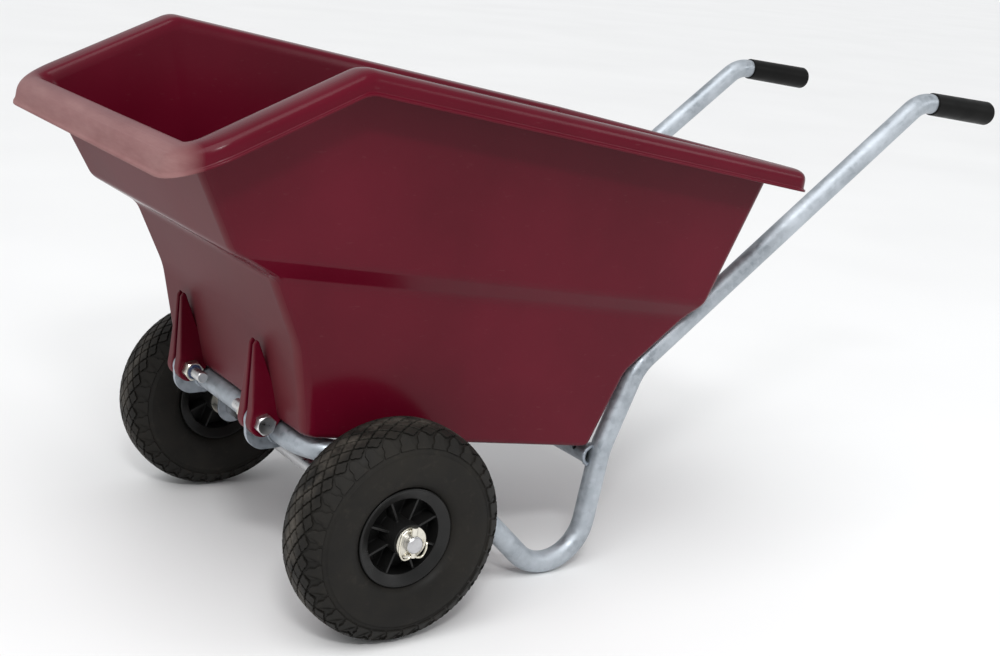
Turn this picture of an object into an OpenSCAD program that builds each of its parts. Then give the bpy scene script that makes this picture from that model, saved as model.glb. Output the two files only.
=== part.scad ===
// Two-wheeled tipping barrow: a moulded two-step tub that tips forward on two
// pivot bolts, on one continuous bent tube frame with skids and long handles.
// Millimetres, +X towards the tipping lip, +Y to the left, +Z up, floor at z = 0.

/* [Wheels] */
// Outside diameter of the tyre
wheel_d = 260; // [200:1:400]
// Width of the tyre
wheel_w = 83; // [60:0.5:120]
// Distance between the middles of the two tyres
track_w = 516; // [450:1:700]
// Outside diameter of the rim flange
rim_d = 118.8; // [90:0.1:160]
// Distance across the two rim flanges
rim_w = 65; // [50:0.5:80]
// Diameter of the recess between the flange and the hub
dish_d = 91; // [70:0.5:120]
// Thickness of the rim barrel wall
barrel_t = 4; // [3:0.1:8]
// Thickness of the middle web of the rim
web_t = 6; // [3:0.5:12]
// Thickness of each radial rib
rib_t = 2.8; // [2:0.1:5]
// How far the ribs sit below the flange face
rib_inset = 9; // [2:0.5:20]
// Number of ribs on each face of the rim
rib_n = 8; // [4:1:12]
// Outside diameter of the hub
hub_d = 40; // [30:0.5:60]
// Length of the hub
hub_len = 80; // [60:0.5:100]
// Wall thickness of the tyre casing
casing_t = 6; // [4:0.5:12]
// Outside diameter of the two bushes in a hub
bush_d = 32; // [24:0.5:40]
// Length of each bush
bush_len = 18; // [10:0.5:30]

/* [Axle] */
// Diameter of the axle bar
axle_d = 20; // [16:0.5:30]
// Length of the axle bar
axle_len = 622; // [560:1:800]
// Chamfer on the ends of the axle
axle_chamfer = 1.5; // [0.5:0.1:3]
// Outside diameter of the wheel washers
wheel_washer_d = 38; // [30:0.5:50]
// Thickness of the wheel washers
wheel_washer_t = 3; // [1.5:0.1:5]
// Diameter of the outer locking pins
lock_pin_d = 6; // [4:0.1:10]
// Length of an outer locking pin below its head
lock_pin_len = 27; // [22:0.5:40]
// Diameter of the spring wire on a locking pin
spring_wire_d = 2.4; // [1.5:0.1:4]
// Radius of the spring wire loop
spring_r = 18.5; // [14:0.1:30]
// Diameter of the inner split pins
split_pin_d = 4; // [3:0.1:6]
// Length of the inner split pins
split_pin_len = 36; // [26:0.5:50]

/* [Frame tube] */
// Outside diameter of the frame tube
tube_d = 28; // [22:0.5:40]
// Wall thickness of the frame tube
tube_wall = 2; // [1.2:0.1:4]
// Distance between the centre lines of the two side runs
side_gap = 378; // [300:1:480]
// Front cross run, distance ahead of the axle
front_ahead = 76.6; // [40:0.1:120]
// Front cross run, height of its centre line
front_z = 207.5; // [180:0.1:260]
// Bend radius of the two front corners
corner_r = 55; // [40:1:100]
// Slope of the side rails where they run back under the tub
rail_slope = 8.4; // [0:0.1:15]
// Angle at which each rail drops to its skid
rail_drop = 45; // [30:0.5:60]
// Bend radius where the rail starts to drop
drop_r = 80; // [50:1:140]
// Distance of the skid behind the axle
skid_back = 271.8; // [220:0.1:330]
// Bend radius of the skid
skid_r = 59.5; // [45:0.5:90]
// Backward lean of the leg above the skid
leg_lean = 9; // [0:0.5:20]
// Height of the slight bend in the leg
knee_z = 160; // [130:1:190]
// Backward lean of the leg above that bend
upper_lean = 22.4; // [12:0.2:35]
// Bend radius of the slight leg bend
knee_r = 110; // [60:1:200]
// Height of the bend from leg to handle
elbow_z = 266.6; // [220:0.2:330]
// Slope of the straight handle
handle_slope = 36.8; // [25:0.2:50]
// Bend radius from leg to handle
elbow_r = 75; // [50:1:140]
// Height of the bend from handle to grip
grip_z = 611.3; // [520:0.2:720]
// Downward slope of the grips
grip_droop = 6.2; // [0:0.2:15]
// Bend radius from handle to grip
grip_r = 52; // [45:1:100]
// Straight tube length behind the grip bend
grip_run = 140.5; // [120:0.5:220]

/* [Frame fittings] */
// Thickness of the axle bracket plates
bracket_t = 5; // [3:0.5:10]
// Radius of the rounded foot of an axle bracket
bracket_r = 21; // [15:0.5:32]
// Thickness of the pivot tab plates
tab_t = 6; // [4:0.5:10]
// Radius of the tab plate round the pivot bolt
tab_r = 15.8; // [12:0.1:17]
// Height of the underside of the tab plates
tab_foot_z = 186; // [175:0.5:195]
// Radius of the front lower corner of a tab plate
tab_corner_r = 25; // [10:0.5:30]
// Diameter of the rear cross bar
bar_d = 25; // [20:0.5:36]
// Wall thickness of the rear cross bar
bar_wall = 2; // [1.2:0.1:4]
// Distance of the rear cross bar behind the axle
bar_back = 333; // [300:0.5:350]
// Diameter of the two vent holes in the rear cross bar
vent_d = 7; // [4:0.5:12]
// Distance of each vent hole from the side run centre line
vent_in = 24; // [18:0.5:40]
// Outside diameter of a grip at its front end
grip_front_d = 31.6; // [29:0.1:40]
// Outside diameter of a grip at its closed end
grip_rear_d = 33.8; // [30:0.1:44]
// Length of a grip
grip_len = 122; // [100:0.5:180]
// Thickness of the closed end of a grip
grip_cap = 4; // [2:0.5:10]

/* [Pivot] */
// Pivot bolts, distance ahead of the axle
pivot_ahead = 104.6; // [90:0.1:130]
// Height of the pivot bolts
pivot_z = 224; // [200:0.1:260]
// Distance of each tab plate from the middle of the barrow
lug_y = 109; // [80:0.5:150]
// Diameter of the pivot bolts
bolt_d = 14; // [10:0.5:16]
// Size across the flats of bolt head and nut
bolt_af = 22; // [17:0.5:24]
// Height of the bolt head
bolt_head = 9; // [6:0.1:12]
// Height of the nut without its collar
nut_h = 13; // [8:0.1:16]
// Distance of the inboard bolt ends from the middle
bolt_end_y = 51.7; // [40:0.1:70]
// Outside diameter of the locking collar in the nut
collar_d = 18.4; // [15:0.1:20]
// Height of the locking collar
collar_h = 1.6; // [1:0.1:3]

/* [Tub] */
// Backward tilt of the tub floor when the barrow stands
tub_tilt = 8.5; // [0:0.1:15]
// Height of the tub underside over the pivot, square to the floor
floor_up = 6.4; // [4:0.1:12]
// Distance from the pivot back to the front edge of the floor
floor_front = 16.7; // [10:0.1:17]
// Length of the tub floor
floor_len = 412.8; // [300:0.5:460]
// Width of the tub floor outside
floor_w = 396; // [330:1:420]
// Wall thickness of the tub
wall = 5; // [3:0.1:8]
// Height of the lower tier
lower_h = 181.6; // [150:0.2:230]
// Forward lean of the lower front wall over its height
lower_front_out = 83.3; // [50:0.1:120]
// Widening of each side over the lower tier
lower_side_out = 13; // [5:0.1:30]
// Height of the steep part of the rear wall
heel_h = 105; // [60:1:130]
// Backward lean of the steep part of the rear wall
heel_out = 28; // [10:0.5:36]
// Backward reach of the rear wall at the ledge
lower_rear_out = 99; // [60:0.5:101]
// Rise of the ledge
ledge_h = 24; // [10:0.5:40]
// Depth of the ledge at the front
ledge_front = 58; // [20:0.5:80]
// Depth of the ledge at the sides
ledge_side = 16; // [8:0.5:30]
// Depth of the ledge at the rear
ledge_rear = 16; // [8:0.5:30]
// Forward lean of the upper front wall per millimetre of height
upper_front_rate = 0.7; // [0.4:0.005:1]
// Widening of each side of the upper tier per millimetre of height
upper_side_rate = 0.076; // [0.03:0.002:0.15]
// Backward lean of the upper rear wall per millimetre of height
upper_rear_rate = 0.242; // [0.1:0.002:0.4]
// Peak of the rim, distance ahead of the pivot
peak_f = 38; // [0:0.5:80]
// Height of the rim peak over the pivot, square to the floor
peak_v = 428.5; // [380:0.5:480]
// Fall of the rim per millimetre towards the rear
rear_fall = 0.0353; // [0:0.001:0.1]
// Fall of the rim per millimetre towards the lip
lip_fall = 0.63; // [0.4:0.01:0.9]
// Width of the rolled rim along the sides
rim_side = 48; // [30:0.5:60]
// Width of the rolled rim at the front lip
rim_front = 25; // [18:0.5:50]
// Width of the rolled rim at the rear
rim_rear = 22.5; // [18:0.5:50]
// Depth of the rim skirt below the crest
skirt_h = 26; // [18:0.5:36]
// Inner plan radius of the front corners at the rim
lip_inner_r = 14; // [8:0.5:30]
// Plan radius of the front corners of the rim flange
lip_outer_r = 58; // [30:0.5:70]
// Plan radius of the rear corners of the rim flange
rear_outer_r = 22; // [12:0.5:40]
// Plan radius of the front upright corners of the tub
corner_plan_r = 16; // [8:0.5:25]
// Plan radius of the rear upright corners of the tub
corner_rear_r = 11; // [8:0.5:25]
// Radius of the lugs round the pivot bolts
lug_r = 17; // [14:0.1:17.2]
// Thickness of each lug fin
fin_t = 15; // [10:0.5:20]
// Thickness of each lug fin at its tip
fin_tip_t = 4; // [2:0.5:10]
// Height of the fin tips over the pivot, square to the floor
fin_top = 96; // [80:1:150]

/* [Fits] */
// Running clearance on radius, wheel bushes on the axle
axle_fit = 0.05; // [0.02:0.01:0.1]
// Running clearance on radius, pivot bolts in the tab plates
pivot_fit = 0.06; // [0.02:0.01:0.1]
// Small clearance on radius of fixed fitted parts
snug_fit = 0.02; // [0.01:0.01:0.05]
// Gap between parts that move past each other
side_play = 0.5; // [0.3:0.05:1]
// Gap under the tub where it comes to rest
rest_gap = 2; // [0.3:0.1:4]

/* [Hidden] */
$fn = 64;
tr = tube_d / 2;
br = bar_d / 2;
ar = axle_d / 2;
axle_z = wheel_d / 2;
rail_y = side_gap / 2;

// Path of one side run, as distances ahead of the axle and heights.
skid_z = tr + skid_r;
fr_x = front_ahead - corner_r * cos(rail_slope);
fr_z = front_z - corner_r * sin(rail_slope);
t1_x = -skid_back + skid_r * sin(rail_drop);
t1_z = skid_z - skid_r * cos(rail_drop);
t2_x = -skid_back - skid_r * cos(leg_lean);
t2_z = skid_z - skid_r * sin(leg_lean);
v1_x = (t1_z - t1_x * tan(rail_drop) - front_z + front_ahead * tan(rail_slope))
     / (tan(rail_slope) - tan(rail_drop));
v1_z = front_z + (v1_x - front_ahead) * tan(rail_slope);
v3_z = knee_z;
v3_x = t2_x - (v3_z - t2_z) * tan(leg_lean);
v4_z = elbow_z;
v4_x = v3_x - (v4_z - v3_z) * tan(upper_lean);
v5_z = grip_z;
v5_x = v4_x - (v5_z - v4_z) / tan(handle_slope);
end_x = v5_x - grip_run * cos(grip_droop);
end_z = v5_z - grip_run * sin(grip_droop);
grip_end_x = end_x - grip_cap * cos(grip_droop);

// Tub outline, measured along the floor (f) and square to it (v) from the pivot.
f_front0 = -floor_front;
f_rear0 = -floor_front - floor_len;
v0 = floor_up;
v_heel = v0 + heel_h;
v1 = v0 + lower_h;
v2 = v1 + ledge_h;
y0 = floor_w / 2;
y1 = y0 + lower_side_out;
y2 = y1 + ledge_side;
f_front1 = f_front0 + lower_front_out;
f_front2 = f_front1 + ledge_front;
f_rear1 = f_rear0 - lower_rear_out;
f_rear2 = f_rear1 - ledge_rear;
function rim_raw(f) = f > peak_f ? peak_v - (f - peak_f) * lip_fall
                                 : peak_v - (peak_f - f) * rear_fall;
soft = 10;
function rim_v(f) = abs(f - peak_f) >= soft ? rim_raw(f)
    : let(a = rim_raw(peak_f - soft), c = rim_raw(peak_f + soft), t = (f - peak_f + soft) / (2 * soft))
      (1 - t) * (1 - t) * a + 2 * t * (1 - t) * peak_v + t * t * c;
// Where the inner edge of the rim meets the front and rear wall planes.
f_in_front = (f_front2 + upper_front_rate * (peak_v + peak_f * lip_fall - v2))
           / (1 + upper_front_rate * lip_fall);
f_in_rear = (f_rear2 - upper_rear_rate * (peak_v - peak_f * rear_fall - v2))
          / (1 + upper_rear_rate * rear_fall);
function side_y(v) = y2 + (v - v2) * upper_side_rate;
flange_f = f_in_front + rim_front;
lip_reach = pivot_ahead + flange_f * cos(tub_tilt)
          - (rim_v(flange_f) - skirt_h) * sin(tub_tilt);
axle_x = (-grip_end_x - lip_reach) / 2;

// ---------- helpers ----------
module place() {
  translate([axle_x, 0, 0]) children();
}

module at_axle() {
  translate([axle_x, 0, axle_z]) children();
}

// Round bar between two points of the side plane.
module run(x1, z1, x2, z2, r) {
  len = sqrt((x2 - x1) * (x2 - x1) + (z2 - z1) * (z2 - z1));
  translate([x1, 0, z1])
    rotate([0, atan2(x2 - x1, z2 - z1), 0])
      cylinder(r = r, h = len);
}

// Tangent length of a bend through a turn.
function tl(r, turn) = r * tan(turn / 2);

turn1 = rail_drop - rail_slope;
turn2 = 180 - leg_lean - (90 - rail_drop);
turn3 = upper_lean - leg_lean;
turn4 = 90 - upper_lean - handle_slope;
turn5 = handle_slope + grip_droop;
function dist(x1, z1, x2, z2) = sqrt((x2 - x1) * (x2 - x1) + (z2 - z1) * (z2 - z1));

// Straights and bends of a side run in order: [length] or [bend radius, turn].
side_path = [
  [dist(fr_x, fr_z, v1_x, v1_z) - tl(drop_r, turn1)],
  [drop_r, -turn1],
  [dist(v1_x, v1_z, t1_x, t1_z) - tl(drop_r, turn1)],
  [skid_r, turn2],
  [dist(t2_x, t2_z, v3_x, v3_z) - tl(knee_r, turn3)],
  [knee_r, -turn3],
  [dist(v3_x, v3_z, v4_x, v4_z) - tl(knee_r, turn3) - tl(elbow_r, turn4)],
  [elbow_r, -turn4],
  [dist(v4_x, v4_z, v5_x, v5_z) - tl(elbow_r, turn4) - tl(grip_r, turn5)],
  [grip_r, -turn5],
  [dist(v5_x, v5_z, end_x, end_z) - tl(grip_r, turn5)]];

// Round bar that follows a path, starting along local +Z. The straights are a
// hair thinner than the bends and enter them, so that the pieces join cleanly.
lap = 0.5;
step = 0.25;
module follow(path, r, i = 0) {
  if (i < len(path)) {
    if (len(path[i]) == 1) {
      translate([0, 0, -lap])
        cylinder(r = r - step, h = path[i][0] + (i < len(path) - 1 ? 2 : 1) * lap);
      translate([0, 0, path[i][0]]) follow(path, r, i + 1);
    } else {
      q = path[i][0];
      a = path[i][1];
      w = a > 0 ? 1 : -1;
      translate([w * q, 0, 0])
        rotate([90, 0, 0])
          rotate([0, 0, a > 0 ? 180 - a : 0])
            rotate_extrude(angle = abs(a)) translate([q, 0]) circle(r = r);
      translate([w * q, 0, 0])
        rotate([0, a, 0])
          translate([-w * q, 0, 0]) follow(path, r, i + 1);
    }
  }
}

// Frame of the rails: at the front cross run, tipped to the rail slope.
module at_rails() {
  translate([front_ahead, 0, front_z]) rotate([0, -rail_slope, 0]) children();
}

module side_run(r) {
  translate([-corner_r, 0, 0]) rotate([0, -90, 0]) follow(side_path, r);
}

// Front cross run with its two corner bends, then the two side runs.
module frame_solid(r) {
  at_rails() {
    translate([0, -(rail_y - corner_r), 0])
      rotate([-90, 0, 0]) cylinder(r = r, h = 2 * (rail_y - corner_r));
    translate([-corner_r, rail_y - corner_r, 0])
      rotate_extrude(angle = 90) translate([corner_r, 0]) circle(r = r);
    translate([-corner_r, -(rail_y - corner_r), 0])
      rotate([0, 0, -90])
        rotate_extrude(angle = 90) translate([corner_r, 0]) circle(r = r);
    translate([0, rail_y, 0]) side_run(r);
    translate([0, -rail_y, 0]) side_run(r);
  }
}

// ---------- frame ----------
module frame_tube() {
  color([0.66, 0.68, 0.7])
    place()
      difference() {
        frame_solid(tr, $fn = 24);
        frame_solid(tr - tube_wall, $fn = 24);
      }
}

// Bar height: the tub floor just clears the top of the bar.
function floor_z(x) = pivot_z + floor_up / cos(tub_tilt) + (x - pivot_ahead) * tan(tub_tilt);
bar_z = floor_z(-bar_back) - (br + rest_gap) / cos(tub_tilt);

module rear_cross_bar() {
  color([0.66, 0.68, 0.7])
    place()
      difference() {
        translate([-bar_back, -rail_y, bar_z])
          rotate([-90, 0, 0]) cylinder(r = br, h = side_gap);
        translate([-bar_back, -rail_y - 1, bar_z])
          rotate([-90, 0, 0]) cylinder(r = br - bar_wall, h = side_gap + 2);
        for (s = [-1, 1])
          translate([0, s * rail_y, 0]) at_rails() side_run(tr);
        for (s = [-1, 1])
          translate([-bar_back, s * (rail_y - vent_in), bar_z])
            rotate([0, 62, 0]) cylinder(d = vent_d, h = 2 * br);
        // Trim the horns left behind the side runs.
        for (s = [-1, 1])
          translate([-bar_back, s * (rail_y + 50), bar_z])
            cube([200, 100, 200], center = true);
      }
}

// Tab plate: round the pivot bolt, wrapped under the front cross run.
tab_a_x = pivot_ahead - 10.5;
tab_a_z = tab_foot_z + tab_corner_r;
tab_b_r = 12;
tab_b_x = front_ahead + 1;
tab_b_z = tab_foot_z + tab_b_r;
tab_cut_x = pivot_ahead - 12.5;
tab_play = 2;

module tab_outline() {
  difference() {
    union() {
      translate([pivot_ahead, pivot_z]) circle(r = tab_r);
      translate([tab_a_x, tab_a_z]) circle(r = tab_corner_r);
      translate([tab_b_x, tab_b_z]) circle(r = tab_b_r);
      polygon([[tab_a_x, tab_foot_z],
               [tab_a_x + tab_corner_r, tab_a_z],
               [pivot_ahead + tab_r, pivot_z],
               [pivot_ahead, pivot_z + tab_r - 4],
               [tab_cut_x, floor_z(tab_cut_x) - tab_play],
               [front_ahead, floor_z(front_ahead) - tab_play],
               [tab_b_x - tab_b_r, tab_b_z],
               [tab_b_x, tab_foot_z]]);
    }
    // Room for the tub floor above.
    polygon([[tab_cut_x, floor_z(tab_cut_x) - tab_play],
             [tab_cut_x - 60, floor_z(tab_cut_x - 60) - tab_play],
             [tab_cut_x - 60, pivot_z + 40],
             [tab_cut_x, pivot_z + 40]]);
  }
}

module tab_plate() {
  difference() {
    translate([0, tab_t / 2, 0])
      rotate([90, 0, 0])
        linear_extrude(tab_t)
          difference() {
            tab_outline();
            translate([front_ahead, front_z]) circle(r = tr + snug_fit);
          }
    translate([pivot_ahead, 0, pivot_z])
      rotate([90, 0, 0]) cylinder(r = bolt_d / 2 + pivot_fit, h = tab_t + 2, center = true);
  }
}

module tab_plate_left() {
  color([0.7, 0.72, 0.74]) place() translate([0, lug_y, 0]) tab_plate();
}

module tab_plate_right() {
  color([0.7, 0.72, 0.74]) place() translate([0, -lug_y, 0]) tab_plate();
}

// Axle bracket: plate hanging from the side rail with a round foot.
rail_z0 = front_z - front_ahead * tan(rail_slope);

module axle_bracket() {
  difference() {
    translate([0, bracket_t / 2, 0])
      rotate([90, 0, 0])
        linear_extrude(bracket_t)
          union() {
            translate([0, axle_z]) circle(r = bracket_r);
            polygon([[-bracket_r, axle_z], [bracket_r, axle_z],
                     [bracket_r, rail_z0], [-bracket_r, rail_z0]]);
          }
    run(fr_x + 30, fr_z + 30 * tan(rail_slope), fr_x - 200,
        fr_z - 200 * tan(rail_slope), tr + snug_fit);
    translate([0, 0, axle_z])
      rotate([90, 0, 0]) cylinder(r = ar + snug_fit, h = bracket_t + 2, center = true);
  }
}

module axle_bracket_left() {
  color([0.7, 0.72, 0.74]) place() translate([0, rail_y, 0]) axle_bracket();
}

module axle_bracket_right() {
  color([0.7, 0.72, 0.74]) place() translate([0, -rail_y, 0]) axle_bracket();
}

// ---------- axle and its fastenings ----------
head_z = ar + 1.2;
head_h = 9;
head_w = 8;
hub_out = track_w / 2 + hub_len / 2;
hub_in = track_w / 2 - hub_len / 2;
washer_gap = 0.4;
washer_out = hub_out + washer_gap;
washer_in = hub_in - washer_gap - wheel_washer_t;
pin_y = washer_out + wheel_washer_t + 0.3 + head_w / 2;
split_y = washer_in - 0.3 - split_pin_d / 2;

module axle() {
  color([0.72, 0.73, 0.74])
    at_axle()
      difference() {
        rotate([90, 0, 0])
          rotate_extrude()
            polygon([[0, -axle_len / 2], [ar - axle_chamfer, -axle_len / 2],
                     [ar, -axle_len / 2 + axle_chamfer], [ar, axle_len / 2 - axle_chamfer],
                     [ar - axle_chamfer, axle_len / 2], [0, axle_len / 2]]);
        for (s = [-1, 1]) {
          translate([0, s * pin_y, 0])
            cylinder(r = lock_pin_d / 2 + snug_fit, h = axle_d + 4, center = true);
          translate([0, s * split_y, 0])
            cylinder(r = split_pin_d / 2 + snug_fit, h = axle_d + 4, center = true);
        }
      }
}

module ring(od, id, h) {
  rotate([-90, 0, 0])
    rotate_extrude()
      polygon([[id / 2, 0], [od / 2, 0], [od / 2, h], [id / 2, h]]);
}

module washers_outer() {
  color([0.8, 0.79, 0.72])
    at_axle()
      for (s = [0, 1])
        mirror([0, s, 0])
          translate([0, washer_out, 0]) ring(wheel_washer_d, axle_d + 2 * snug_fit, wheel_washer_t);
}

module washers_inner() {
  color([0.8, 0.79, 0.72])
    at_axle()
      for (s = [0, 1])
        mirror([0, s, 0])
          translate([0, washer_in, 0]) ring(wheel_washer_d, axle_d + 2 * snug_fit, wheel_washer_t);
}

// Locking pin: a shank through the axle with a round head at the top.
module lock_pin() {
  difference() {
    union() {
      translate([0, 0, head_z - lock_pin_len]) cylinder(d = lock_pin_d, h = lock_pin_len + 1);
      translate([0, 0, head_z]) cylinder(d = head_w, h = head_h);
    }
    translate([0, 0, 0])
      rotate([90, 0, 0])
        rotate_extrude(angle = 60, start = 60)
          translate([spring_r, 0]) circle(r = spring_wire_d / 2 + snug_fit, $fn = 32);
  }
}

module lock_pins() {
  color([0.8, 0.8, 0.78])
    at_axle()
      for (s = [0, 1])
        mirror([0, s, 0]) translate([0, pin_y, 0]) lock_pin();
}

// Spring wire: from the pin head round the front and underside to the rear.
module lock_spring() {
  translate([0, 0, 0])
    rotate([90, 0, 0])
      rotate_extrude(angle = 280, start = -172)
        translate([spring_r, 0]) circle(r = spring_wire_d / 2, $fn = 32);
}

module lock_springs() {
  color([0.82, 0.8, 0.7])
    at_axle()
      for (s = [0, 1])
        mirror([0, s, 0])
          translate([0, pin_y, 0]) lock_spring();
}

module split_pins() {
  color([0.75, 0.75, 0.75])
    at_axle()
      for (s = [0, 1])
        mirror([0, s, 0])
          translate([0, split_y, 0]) {
            translate([0, 0, -split_pin_len / 2 - 2]) cylinder(d = split_pin_d, h = split_pin_len);
            translate([0, 0, split_pin_len / 2 + 0.6])
              rotate([90, 0, 0])
                rotate_extrude() translate([3.4, 0]) circle(d = 2.4, $fn = 32);
          }
}

// ---------- grips ----------
module grip() {
  translate([end_x, 0, end_z])
    rotate([0, 90 - grip_droop, 0])
      rotate_extrude()
        polygon([[0, -grip_cap], [grip_rear_d / 2 - 3, -grip_cap],
                 [grip_rear_d / 2 - 0.9, -grip_cap + 0.9], [grip_rear_d / 2, -grip_cap + 3],
                 [grip_front_d / 2 + 0.1, grip_len - grip_cap - 2],
                 [grip_front_d / 2 - 0.8, grip_len - grip_cap],
                 [tr + snug_fit, grip_len - grip_cap], [tr + snug_fit, -snug_fit], [0, -snug_fit]]);
}

module grip_left() {
  color([0.08, 0.08, 0.08]) place() translate([0, rail_y, 0]) grip();
}

module grip_right() {
  color([0.08, 0.08, 0.08]) place() translate([0, -rail_y, 0]) grip();
}

// ---------- wheels ----------
module tyre() {
  rt = wheel_d / 2;
  w = wheel_w / 2;
  rb = rim_d / 2;
  yb = rim_w / 2;
  rotate([90, 0, 0])
    rotate_extrude() {
      difference() {
        polygon([[rb - 4, -yb + 6], [rb + 1, -yb + 4], [rb + 4, -yb - 2],
                 [rb + 14, -w + 2.2], [rb + 22, -w + 0.4], [rt - 40, -w], [rt - 26, -w + 0.8],
                 [rt - 17, -w + 3.5], [rt - 9, -w + 9], [rt - 3.5, -w + 17], [rt - 0.8, -w + 28],
                 [rt, 0], [rt - 0.8, w - 28], [rt - 3.5, w - 17], [rt - 9, w - 9],
                 [rt - 17, w - 3.5], [rt - 26, w - 0.8], [rt - 40, w], [rb + 22, w - 0.4],
                 [rb + 14, w - 2.2], [rb + 4, yb + 2], [rb + 1, yb - 4], [rb - 4, yb - 6]]);
        polygon([[rb - 6, -yb + 14], [rb + 12, -w + casing_t + 3], [rb + 24, -w + casing_t],
                 [rt - 30, -w + casing_t + 1], [rt - 16, -w + casing_t + 9],
                 [rt - casing_t - 2, -w + 30], [rt - casing_t - 2, w - 30],
                 [rt - 16, w - casing_t - 9], [rt - 30, w - casing_t - 1],
                 [rb + 24, w - casing_t], [rb + 12, w - casing_t - 3], [rb - 6, yb - 14]]);
      }
    }
}

module rim() {
  rb = rim_d / 2;
  yb = rim_w / 2;
  dr = dish_d / 2;
  br0 = dr + barrel_t;
  difference() {
    union() {
      rotate([90, 0, 0])
        rotate_extrude()
          polygon([[dr, -yb + 7], [rb - 2, -yb + 0.6], [rb, -yb + 1.6], [rb - 0.4, -yb + 4.2],
                   [rb - 4.1, -yb + 5.8], [br0, -yb + 11], [br0, yb - 11],
                   [rb - 4.1, yb - 5.8], [rb - 0.4, yb - 4.2], [rb, yb - 1.6],
                   [rb - 2, yb - 0.6], [dr, yb - 7]]);
      rotate([90, 0, 0]) cylinder(r = dr + 1, h = web_t, center = true);
      rotate([90, 0, 0]) cylinder(d = hub_d, h = hub_len, center = true);
      for (i = [0 : rib_n - 1])
        rotate([0, 22.5 + i * 360 / rib_n, 0])
          translate([hub_d / 2 - 3, -(yb - rib_inset), -rib_t / 2])
            cube([dr - hub_d / 2 + 4, 2 * (yb - rib_inset), rib_t]);
    }
    rotate([90, 0, 0]) cylinder(r = ar + 2, h = hub_len + 2, center = true);
    for (s = [-1, 1])
      translate([0, s * (hub_len / 2 - bush_len / 2 + 0.5), 0])
        rotate([90, 0, 0]) cylinder(d = bush_d, h = bush_len + 1, center = true);
  }
}

module bushes() {
  for (s = [0, 1])
    mirror([0, s, 0])
      translate([0, hub_len / 2 - bush_len, 0])
        ring(bush_d - 2 * snug_fit, axle_d + 2 * axle_fit, bush_len);
}

module tyre_left() {
  color([0.1, 0.1, 0.1]) at_axle() translate([0, track_w / 2, 0]) tyre();
}

module tyre_right() {
  color([0.1, 0.1, 0.1]) at_axle() translate([0, -track_w / 2, 0]) tyre();
}

module rim_left() {
  color([0.13, 0.13, 0.13]) at_axle() translate([0, track_w / 2, 0]) rim();
}

module rim_right() {
  color([0.13, 0.13, 0.13]) at_axle() translate([0, -track_w / 2, 0]) rim();
}

module bushes_left() {
  color([0.5, 0.5, 0.52]) at_axle() translate([0, track_w / 2, 0]) bushes();
}

module bushes_right() {
  color([0.5, 0.5, 0.52]) at_axle() translate([0, -track_w / 2, 0]) bushes();
}

// ---------- pivot hardware ----------
fin_in = lug_y - tab_t / 2 - side_play - fin_t;
fin_out = lug_y + tab_t / 2 + side_play + fin_t;
hex_r = bolt_af / 2 / cos(30);

module at_pivot() {
  translate([axle_x + pivot_ahead, 0, pivot_z]) children();
}

module pivot_bolts() {
  color([0.75, 0.75, 0.72])
    at_pivot()
      for (s = [0, 1])
        mirror([0, s, 0]) {
          translate([0, bolt_end_y, 0])
            rotate([-90, 0, 0])
              rotate_extrude()
                polygon([[0, 0], [bolt_d / 2 - 1, 0], [bolt_d / 2, 1],
                         [bolt_d / 2, fin_out + 1 - bolt_end_y], [0, fin_out + 1 - bolt_end_y]]);
          translate([0, fin_out, 0])
            rotate([-90, 0, 0])
              intersection() {
                rotate([0, 0, 15]) cylinder(r = hex_r, h = bolt_head, $fn = 6);
                rotate_extrude()
                  polygon([[0, 0], [hex_r + 1, 0], [hex_r + 1, bolt_head - 2.4],
                           [bolt_af / 2 - 0.6, bolt_head], [0, bolt_head]]);
              }
        }
}

module pivot_nuts() {
  color([0.8, 0.8, 0.74])
    at_pivot()
      for (s = [0, 1])
        mirror([0, s, 0])
          translate([0, fin_in - nut_h, 0])
            rotate([-90, 0, 0])
              difference() {
                intersection() {
                  rotate([0, 0, 10]) cylinder(r = hex_r, h = nut_h, $fn = 6);
                  rotate_extrude()
                    polygon([[0, 0], [bolt_af / 2 - 0.4, 0], [hex_r + 1, 2.6],
                             [hex_r + 1, nut_h - 1.6], [bolt_af / 2, nut_h], [0, nut_h]]);
                }
                translate([0, 0, -1]) cylinder(r = bolt_d / 2 + snug_fit, h = nut_h + 2);
              }
}

module nut_collars() {
  color([0.08, 0.1, 0.16])
    at_pivot()
      for (s = [0, 1])
        mirror([0, s, 0])
          translate([0, fin_in - nut_h - collar_h, 0])
            ring(collar_d, bolt_d + 2 * snug_fit, collar_h);
}

// ---------- tub ----------
// A plan outline: front, rear and half width with corner radii, side points
// spaced the same way on every level so that the levels can be joined.
arc_a = 6;
arc_b = 5;
side_marks = [soft, soft / 2, 0, -soft / 2, -soft];
rim_f0 = f_in_rear;
rim_f1 = f_in_front;
function mark_u(i) = (peak_f + side_marks[i] - rim_f0) / (rim_f1 - rim_f0);

function half_ring(ff, fr, hw, ra, rb, locked) = concat(
  [for (i = [0 : arc_a]) let(a = 90 * i / arc_a) [ff - ra + ra * cos(a), hw - ra + ra * sin(a)]],
  [for (i = [0 : 4]) [locked ? peak_f + side_marks[i]
      : (fr + rb) + 2 + (ff - ra - fr - rb - 4) * mark_u(i), hw]],
  [for (i = [0 : arc_b]) let(a = 90 + 90 * i / arc_b) [fr + rb + rb * cos(a), hw - rb + rb * sin(a)]]);

function mirror_list(p) = [for (i = [len(p) - 1 : -1 : 0]) [p[i][0], -p[i][1]]];
function plan(ff, fr, hw, ra, rb, locked) = let(h = half_ring(ff, fr, hw, ra, rb, locked))
  concat(h, mirror_list(h));

// Level ring at a fixed height.
function level(ff, fr, hw, ra, rb, v) =
  [for (p = plan(ff, fr, hw, ra, rb, false)) [p[0], p[1], v]];

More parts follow.
